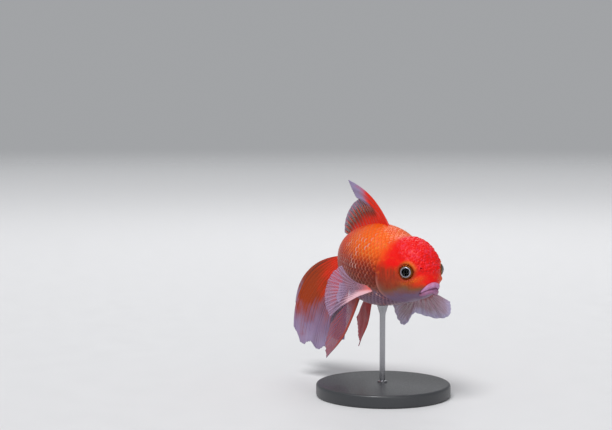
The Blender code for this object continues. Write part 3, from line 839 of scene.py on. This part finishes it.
def head_relief(u, left, up, points):
    """The rise of the hood, the cheeks and the ridges under the eyes, the hood's share, the ridges' gold."""
    hood = hood_cover(points)
    head = np.flatnonzero((u < 0.34) & (u > 0.01))
    coarse, fine = np.zeros((2, len(points)))
    coarse[head] = lumps(points[head], HOOD_CELL_M)
    fine[head] = lumps(points[head] + 1.0, CHEEK_CELL_M)
    cheek = (1 - hood) * (1 - grow(u, 0.25, 0.30)) * grow(up, -0.08, -0.03)
    above = up - np.interp(u, RIDGE_STATIONS, RIDGE_HEIGHTS)
    ridge = hill(above, 0.016) * hill(u - 0.08, 0.055) * grow(np.abs(left), 0.025, 0.075)
    rise = hood * (HOOD_RISE_M + HOOD_LUMP_M * coarse) + CHEEK_LUMP_M * fine * cheek
    return rise + RIDGE_M * ridge * (1 + fine), hood, ridge * (0.45 + 0.55 * fine)


def openings_relief(points):
    """The rise round the eyes, nostrils and roots of the pectoral fins, the eyes' rings, the nostrils."""
    rise, ring, nostril = np.zeros((3, len(points)))
    for side in (-1, 1):
        from_eye = points - eye_centre(side)
        deep = from_eye @ look_way(side)
        aside = np.linalg.norm(from_eye - deep[:, None] * look_way(side), axis=1) - EYE_OPENING_M
        facing = grow(deep, 0, 0.001)
        rise -= facing * EYE_WELL_M * (1 - grow(aside, 0, 0.0005))
        rise -= facing * EYE_DISH_M * (1 - grow(aside, 0.0006, 0.0016))
        rise += facing * EYE_RIM_M * hill(aside - 0.0009, 0.0004)
        ring += facing * hill(aside - 0.0004, 0.0011)
        hole = skin_point(NOSTRIL_STATION, side * NOSTRIL_TURN).reshape(3)
        from_hole = np.linalg.norm(points - hole, axis=1)
        rise += NOSTRIL_RIM_M * hill(from_hole - 0.0006, 0.0003) - NOSTRIL_DEPTH_M * hill(from_hole, 0.00032)
        nostril += hill(from_hole, 0.0003)
        root = skin_point(between(PECTORAL_ROOT, 0.3), side * between(PECTORAL_TURNS, 0.3)).reshape(3)
        rise += PECTORAL_FLESH_M * hill(np.linalg.norm(points - root, axis=1), 0.0022)
    return rise, ring, nostril


def lip_relief(points, normals, rise):
    """The rise with the lips' rolls on it, the share of the lips, and the painted shade in the mouth's
    parting and the fold round the lips, with a darker lower lip.
    """
    near = np.flatnonzero(np.linalg.norm(points - SNOUT, axis=1) < 0.0115)
    upper, lower = (roll_height(points[near], normals[near], *lip_line(side)) for side in (1, -1))
    roll = np.maximum(upper, lower)
    lips, parting, fold, low_lip = np.zeros((4, len(points)))
    lips[near] = ease(roll / 0.0006 + 0.6)
    parting[near] = hill(upper - lower, 0.00030) * ease(roll / 0.0005 + 1.2)
    fold[near] = hill(roll + 0.00035, 0.00035)
    low_lip[near] = lips[near] * ease((lower - upper) / 0.0008 + 0.5)
    rise = rise.copy()
    rise[near] = blended(roll, rise[near], 0.0003)
    rise -= LIP_PARTING_M * parting + LIP_FOLD_M * fold
    return rise, lips, parting * 0.9 + fold * 0.40 + low_lip * 0.34


def make_skin(finish):
    bm = bmesh.new()
    bmesh.ops.create_uvsphere(bm, u_segments=SKIN_SIDES, v_segments=SKIN_RINGS, radius=1)
    ball = positions(bm)
    along = (1 - ball[:, 2].clip(-1, 1)) / 2
    u, turn = along * (0.3 + 0.7 * along**3), np.arctan2(ball[:, 1], ball[:, 0])  # close rings on the head
    left, up = section(u, turn)
    points = beside(u, left, up)
    move(bm, points)
    bmesh.ops.recalc_face_normals(bm, faces=bm.faces)
    bm.normal_update()
    normals = np.array([v.normal for v in bm.verts])

    cover_rise, slit, cover_edge = cover_relief(u, turn, up)
    head_rise, hood, golden = head_relief(u, left, up, points)
    openings_rise, ring, nostril = openings_relief(points)
    rise, lips, mouth_shade = lip_relief(points, normals, cover_rise + head_rise + openings_rise)
    move(bm, points + normals * rise[:, None])
    # painted shade in the mouth, the slits behind the gill covers and the nostrils
    painted_shade = np.clip(mouth_shade + slit * 0.6 + nostril * 0.9, 0, 1)
    attributes = {
        "place": np.stack([u, np.cos(turn), np.sin(turn)], axis=1),
        "features": np.stack([hood, lips, painted_shade], axis=1),
        "tints": np.stack([np.clip(ring, 0, 1), cover_edge, golden], axis=1),
    }
    covers = "gill_cover_left", "gill_cover_right"
    flesh = ("head", "hood", "trunk", "tail_stalk", "upper_lip", "lower_lip", *covers)
    finish_piece("skin", bm, finish, flesh, attributes=attributes)


# The coat of scales


def skin_way_out(u, turn):
    """The way straight out of the body at each place, and metres of skin to a radian round it."""
    along = skin_point(u + NUDGE, turn) - skin_point(u - NUDGE, turn)
    around = skin_point(u, turn + NUDGE) - skin_point(u, turn - NUDGE)
    return unit(np.cross(around, along)), np.linalg.norm(around, axis=-1) / (2 * NUDGE)


def girth(u):
    return np.linalg.norm(np.diff(skin_point(u, np.linspace(0, tau, 49)), axis=0), axis=1).sum()


def scale_places():
    """Station, turn, length and row height of every scale. Each column is half a row off from the last."""
    places = []
    u, column, widest = COAT_START, 0, girth(COAT_WIDEST)
    while u < COAT_END:
        size = (girth(u) / widest) ** SCALE_SHRINK
        for row in range(SCALE_ROWS):
            turn = (row + column % 2 / 2) / SCALE_ROWS * tau - pi
            if u > head_edge(turn) - COAT_LAP:
                places.append((u, turn, SCALE_STEP_M * size, girth(u) / SCALE_ROWS))
        u += SCALE_STEP_M * size / LENGTH
        column += 1
    return np.array(places)


def scale_template(count):
    """A flat grid for one scale, repeated once for each scale of the coat."""
    bm = bmesh.new()
    bmesh.ops.create_grid(bm, x_segments=SCALE_CELLS[0], y_segments=SCALE_CELLS[1], size=1)
    obj = add_object("scale", mesh_of("scale", bm))
    array = obj.modifiers.new("each", "ARRAY")
    array.count = count
    array.use_relative_offset = False
    array.use_constant_offset = True
    array.constant_offset_displace = (0, 0, 1)
    bpy.context.view_layer.update()
    made = bpy.data.meshes.new_from_object(obj.evaluated_get(bpy.context.evaluated_depsgraph_get()))
    bpy.data.objects.remove(obj)
    return made


def make_coat(name, finish, places, chance):
    """Scales at some places: domed leaves, rooted in the skin's bed, their free edges over the next."""
    mesh = scale_template(len(places))
    grid = np.empty(len(mesh.vertices) * 3)
    mesh.vertices.foreach_get("co", grid)
    grid = grid.reshape(len(places), -1, 3)
    a, b = (grid[..., 0] + 1) / 2, grid[..., 1]  # from root to free edge, and from one side to the other
    u, turn, step, row = (column[:, None] for column in places.T)
    chance = chance[:, None]

    wide = SCALE_ROOT_WIDE + (1 - SCALE_ROOT_WIDE) * np.sin(pi * a)
    across, along = b * wide * row * SCALE_WIDE / 2, a * (1 - SCALE_ROUND * b * b)
    _, radius = skin_way_out(u, turn)
    u_at = np.clip(u + (along - 0.5) * step * SCALE_LONG / LENGTH, 0.01, 0.9985)
    turn_at = turn + across / np.maximum(radius, 0.0008)
    out, _ = skin_way_out(np.minimum(u_at, 0.99), turn_at)
    lift = -COAT_DEPTH_M - SCALE_TILT_M / 2 + (COAT_DEPTH_M + SCALE_TILT_M) * along
    lift += SCALE_DOME_M * (1 - b * b) * np.sin(pi * a) + (chance - 0.5) * SCALE_TILT_M / 2 * along
    mesh.vertices.foreach_set("co", (skin_point(u_at, turn_at) + out * lift[..., None]).ravel())
    vector_attribute(mesh, "place", np.stack([u_at, np.cos(turn_at), np.sin(turn_at)], axis=-1))
    vector_attribute(mesh, "scale", np.stack([along, b, chance + 0 * a], axis=-1))

    # a patch for each scale, laid out by its station and turn
    patches = mesh.uv_layers.new(name="OFBake")
    spot = np.stack([u + (along - 0.5) * SCALE_PATCH, turn / tau + 0.5 + b / 2 * SCALE_PATCH], axis=-1)
    corners = np.empty(len(mesh.loops), np.int32)
    mesh.loops.foreach_get("vertex_index", corners)
    patches.data.foreach_set("uv", spot.reshape(-1, 2)[corners].astype(np.float32).ravel())
    wall = place_piece(name, mesh, finish, ()).modifiers.new("thickness", "SOLIDIFY")
    wall.thickness, wall.offset = SCALE_THICK_M, -1.0


# Fins


def ray_ridge(s, t, count, fork_at, ray_width):
    """1 on a ray and 0 between rays. Each ray forks, and forks again, on its way to the tip."""
    cell = np.abs(s * count % 1 - 0.5)
    fork = FORK_SPREAD * grow(t, fork_at, fork_at + 0.40)
    twig = TWIG_SPREAD * grow(t, fork_at + 0.34, fork_at + 0.64)
    return hill(np.abs(np.abs(cell - fork) - twig), ray_width * (1 - 0.5 * t))


def make_fin(
    name, finish, root, rays, count, rows, seed,
    fork_at=0.4, ray_width=0.15, scallop=0.006, ripple_m=0.0004, flesh_m=FLESH_M, **waves,
):
    """A fin of so many rays, which fork at fork_at, with a scalloped, frayed margin and ripples across it."""

    def spot(s, t):
        return fan_point(root, rays, s, t, **waves)

    bm = bmesh.new()
    bmesh.ops.create_grid(bm, x_segments=count * RAY_COLUMNS, y_segments=rows, size=1)
    flat = positions(bm)
    s, t = (flat[:, 0] + 1) / 2, (flat[:, 1] + 1) / 2
    knots = np.linspace(0, 1, 2 * count + 1)
    ragged = smooth(s, knots, np.random.default_rng(seed).random(len(knots))) * FIN_FRAY
    t = t * (1 - ragged - scallop * (1 - np.cos(tau * count * s)) / 2)
    across = spot(s + NUDGE, t) - spot(s - NUDGE, t)
    out = spot(s, t + NUDGE) - spot(s, t - NUDGE)
    ripple = CREASE_M * np.cos(tau * count * s) * ease(t * 3)
    ripple += ripple_m * np.sin(tau * 1.6 * t + 9 * s + seed) * t
    move(bm, spot(s, t) + unit(np.cross(across, out)) * ripple[:, None])

    ridge = ray_ridge(s, t, count, fork_at, ray_width)
    half = WEB_M + (RAY_M - WEB_M) * ridge * (1 - RAY_TAPER * t)
    half += LEAD_M * np.exp(-s / 0.035) * (1 - LEAD_TAPER * t) + flesh_m * np.exp(-t / 0.07)
    fan = {"fan": np.stack([s, t, ridge], axis=1)}
    obj = finish_piece(f"{name}_rays", bm, finish, (name,), attributes=fan)
    group = obj.vertex_groups.new(name="thickness")
    most = half.max()
    for i, share in enumerate(half / most):
        group.add([i], float(share), "REPLACE")
    wall = obj.modifiers.new("thickness", "SOLIDIFY")
    wall.thickness, wall.offset, wall.vertex_group = 2 * most, 0.0, "thickness"


# Eyes


def make_eye(side, name, iris, cornea):
    radius = EYE_RADIUS * LENGTH
    turned = Vector(look_way(side)).to_track_quat("Z", "Y").to_matrix().to_4x4()
    place = Matrix.Translation(Vector(eye_centre(side))) @ turned

    # the ball, flat at the iris, with the pupil a little out of it
    bm = bmesh.new()
    bmesh.ops.create_uvsphere(bm, u_segments=EYE_SIDES, v_segments=96, radius=1)
    ball = positions(bm)
    reach = np.minimum(BALL, IRIS_FLAT / np.maximum(ball[:, 2], 0.2))
    from_middle = reach * np.hypot(ball[:, 0], ball[:, 1])
    pupil = (ball[:, 2] > 0) * ease((PUPIL - from_middle) / 0.03)
    reach += pupil * (0.01 + PUPIL_BULGE * np.sqrt(np.maximum(0, 1 - (from_middle / PUPIL) ** 2)))
    move(bm, ball * reach[:, None] * radius)
    bmesh.ops.transform(bm, matrix=place, verts=bm.verts)
    share = np.where(ball[:, 2] > 0, from_middle, 1.0)
    rings = {"iris": np.stack([share, ball[:, 0], ball[:, 1]], axis=1)}
    finish_piece(f"{name}_ball", bm, iris, (name,), attributes=rings)

    bm = bmesh.new()
    bmesh.ops.create_uvsphere(bm, u_segments=EYE_SIDES, v_segments=48, radius=radius)
    bmesh.ops.scale(bm, vec=(1, 1, CORNEA), verts=bm.verts)
    bmesh.ops.transform(bm, matrix=place, verts=bm.verts)
    finish_piece("cornea" + name[3:], bm, cornea, ())


# The stand


def make_stand(paint, steel):
    (rear, _, bottom), (front, _, top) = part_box("stand_base")
    radius, thick = (front - rear) / 2, top - bottom
    lift = Matrix.Translation((0, 0, thick / 2))
    bm = bmesh.new()
    bmesh.ops.create_cone(
        bm, cap_ends=True, segments=192, radius1=radius, radius2=radius, depth=thick, matrix=lift
    )
    rims = [e for e in bm.edges if abs(e.verts[0].co.z - e.verts[1].co.z) < thick / 10]
    bmesh.ops.bevel(bm, geom=rims, offset=BASE_EDGE_M, segments=5, profile=0.5, affect="EDGES", material=-1)
    finish_piece("stand_plate", bm, paint, ("stand_base",), radians(30))

    (rear, _, _), (front, _, top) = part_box("stand_rod")
    middle, cup = (rear + front) / 2, (front - rear) / 2
    # out from the rod and up from the base
    collar = ((0.0010, 0), (0.0010, 0.0006), (0.0006, 0.0009), (0, 0.0010))
    # in radii of the rod or of the cup, down from the top
    neck = ((1, 0.0048), (1.12, 0.0038), (1.45, 0.0026))
    bowl = ((0.86, 0.0014), (1, 0.0004), (1, 0), (0.9, -0.0003), (0, -0.0003))
    profile = [(ROD_RADIUS_M + out, thick + rise) for out, rise in collar]
    profile += [(ROD_RADIUS_M * wide, top - down) for wide, down in neck]
    profile += [(cup * wide, top - down) for wide, down in bowl]
    bm = bmesh.new()
    line = [bm.verts.new((out, 0, height)) for out, height in profile]
    edges = [bm.edges.new(pair) for pair in zip(line, line[1:])]
    bmesh.ops.spin(bm, geom=line + edges, cent=(0, 0, 0), axis=(0, 0, 1), angle=tau, steps=64, use_merge=True)
    bmesh.ops.remove_doubles(bm, verts=bm.verts, dist=1e-6)
    bmesh.ops.holes_fill(bm, edges=bm.edges)
    bmesh.ops.recalc_face_normals(bm, faces=bm.faces)
    bmesh.ops.translate(bm, verts=bm.verts, vec=(middle, 0, 0))
    finish_piece("stand_pin", bm, steel, ("stand_rod",), radians(40))


# Everything


def make_fish():
    wet = {"Specular IOR Level": 0.17, "Coat Weight": 0.08, "Coat Roughness": 0.18}
    flesh = wet | {"Subsurface Weight": 0.12, "Subsurface Scale": 0.001}
    clear = {"Base Color": (1, 1, 1), "Transmission Weight": 1.0, "IOR": 1.16, "Roughness": 0.0}
    make_skin(material("fish_skin", skin_finish, flesh))
    places = scale_places()
    chance = np.random.default_rng(11).random(len(places))
    scales = material("fish_scales", scale_finish, wet)
    on_left = places[:, 1] > 0
    for name, mine in (("coat_right", ~on_left), ("coat_left", on_left)):
        make_coat(name, scales, places[mine], chance[mine])
    iris = material("iris", iris_finish, {"Roughness": 0.25, "Specular IOR Level": 0.12})
    cornea = material("cornea", lambda net: {}, clear)
    for side, name in ((-1, "eye_right"), (1, "eye_left")):
        make_eye(side, name, iris, cornea)


def make_fins():
    broad = {"fork_at": 0.80, "ray_width": 0.26, "scallop": 0.012, "ripple_m": 0.0001}
    soft = {"fork_at": 0.6, "ray_width": 0.20, "ripple_m": 0.0002}
    scalloped = {"scallop": 0.012}
    pleated = {"pleat": TAIL_PLEAT, "pleats": TAIL_PLEATS, "flesh_m": 0.0010}
    finishes = {name: fin_material(name, *look) for name, look in FIN_LOOKS.items()}
    for name, root, rays, count, rows, seed, more in (  # count of rays, rows of faces, seed of the fraying
        ("dorsal_fin", dorsal_root, DORSAL_RAYS, 16, 60, 2, broad),
        ("pectoral_fin_right", pectoral_root(-1), RIGHT_PECTORAL_RAYS, 12, 60, 3, soft),
        ("pectoral_fin_left", pectoral_root(1), LEFT_PECTORAL_RAYS, 16, 60, 4, scalloped),
        ("pelvic_fin_right", pelvic_root(-1), RIGHT_PELVIC_RAYS, 10, 70, 5, {}),
        ("pelvic_fin_left", pelvic_root(1), LEFT_PELVIC_RAYS, 10, 70, 6, {}),
        ("anal_fin_right", anal_root(-1), RIGHT_ANAL_RAYS, 7, 36, 7, {}),
        ("anal_fin_left", anal_root(1), LEFT_ANAL_RAYS, 7, 36, 8, {}),
        ("tail_fin_right", tail_root(-1), RIGHT_TAIL_RAYS, 18, 84, 9, pleated),
        ("tail_fin_left", tail_root(1), LEFT_TAIL_RAYS, 18, 84, 10, pleated),
    ):
        finish = finishes.get(name) or finishes[name.rsplit("_", 1)[0]]
        make_fin(name, finish, root, rays, count, rows, seed, **more)


# The room, the light and the camera


def make_floor():
    bm = bmesh.new()
    bmesh.ops.create_circle(bm, cap_ends=True, segments=96, radius=FLOOR_RADIUS_M)
    floor = add_object("floor", mesh_of("floor", bm))
    floor.data.materials.append(material("floor", floor_finish, {"Specular IOR Level": 0.1}))


def make_light(name, at, size, watts):
    data = bpy.data.lights.new(name, "AREA")
    data.shape, data.size, data.energy = "DISK", size, watts
    light = add_object(name, data)
    light.location = at
    light.rotation_euler = (LIGHTS_AIM - Vector(at)).to_track_quat("-Z", "Y").to_euler()


def make_room():
    bpy.context.scene.view_settings.view_transform = "Standard"
    make_floor()
    sun = bpy.data.lights.new("key", "SUN")
    sun.energy, sun.angle = 2.15, radians(24)
    key = add_object("key", sun)
    key.rotation_euler = Vector((0.25, -0.45, 0.86)).to_track_quat("Z", "Y").to_euler()
    make_light("fill", (2.75, -0.75, 1.04), 2.25, 10.0)
    make_light("back", (-0.70, 0.60, 0.90), 0.60, 2.4)
    world = bpy.data.worlds.new("studio")
    world.use_nodes = True
    light = world.node_tree.nodes["Background"].inputs
    light["Color"].default_value, light["Strength"].default_value = (0.90, 0.92, 0.95, 1), 0.40
    bpy.context.scene.world = world


def make_camera():
    data = bpy.data.cameras.new("camera")
    data.lens, data.sensor_width, data.clip_start = 85, 36, 0.01
    camera = add_object("camera", data)
    around, above, distance = radians(50), radians(7), 0.63725  # of the camera, from the snout
    back = Vector((sin(around) * cos(above), -cos(around) * cos(above), sin(above)))
    camera.location = Vector(SNOUT) + back * distance
    camera.rotation_euler = (radians(85.655), 0, radians(55.101))
    bpy.context.scene.camera = camera


make_fish()
make_fins()
make_stand(
    material("stand_paint", paint_finish, {"Coat Weight": 0.15}),
    material("stand_steel", steel_finish, {"Metallic": 1.0}),
)
make_room()
make_camera()
